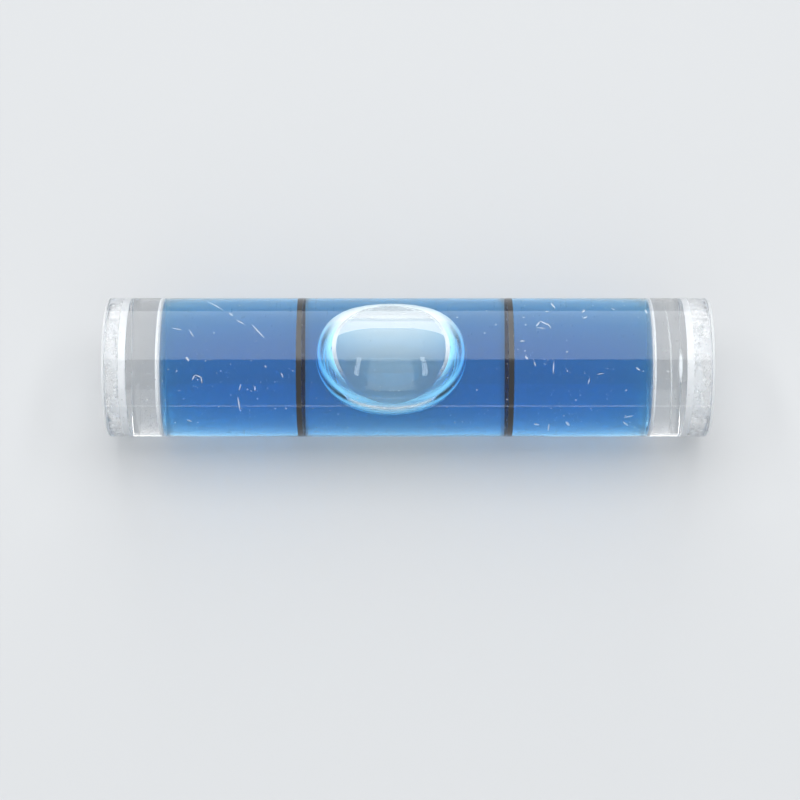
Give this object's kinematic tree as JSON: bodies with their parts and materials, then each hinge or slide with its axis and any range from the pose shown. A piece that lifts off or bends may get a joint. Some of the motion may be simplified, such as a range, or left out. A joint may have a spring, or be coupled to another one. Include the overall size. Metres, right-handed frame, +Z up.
{
  "type": "bubble level vial",
  "caption": "Clear acrylic tubular level vial, plugged at both ends and filled with blue spirit; an air bubble travels along its barrel bore between black index lines.",
  "frame": {"origin": "on the tube's axis, halfway between its ends", "axes": "+X along the tube's axis, +Z up, to the side where the bubble rests when the vial is level"},
  "size_m": [0.041, 0.0094, 0.0094],
  "materials": {
    "clear_acrylic_tube": "polished clear acrylic with fine scratches",
    "clear_acrylic_plug": "clear acrylic, machined faces",
    "clear_cement": "cloudy clear cement",
    "black_line_paint": "matte black paint in a groove",
    "blue_spirit": "clear blue-dyed spirit",
    "air": "clear air pocket"
  },
  "bodies": {
    "vial": {"vial_tube": "clear_acrylic_tube", "left_end_plug": "clear_acrylic_plug", "right_end_plug": "clear_acrylic_plug", "left_cement_bead": "clear_cement", "right_cement_bead": "clear_cement", "left_index_line": "black_line_paint", "right_index_line": "black_line_paint", "spirit_fill": "blue_spirit"},
    "bubble": {"air_bubble": "air"}
  },
  "joints": [
    {"name": "bubble_travel", "type": "slide", "parent": "vial", "child": "bubble", "axis": [1, 0, 0], "range_m": [-0.01, 0.012], "stiffness_N_per_m": 0.5, "deforming": ["spirit_fill"]}
  ]
}
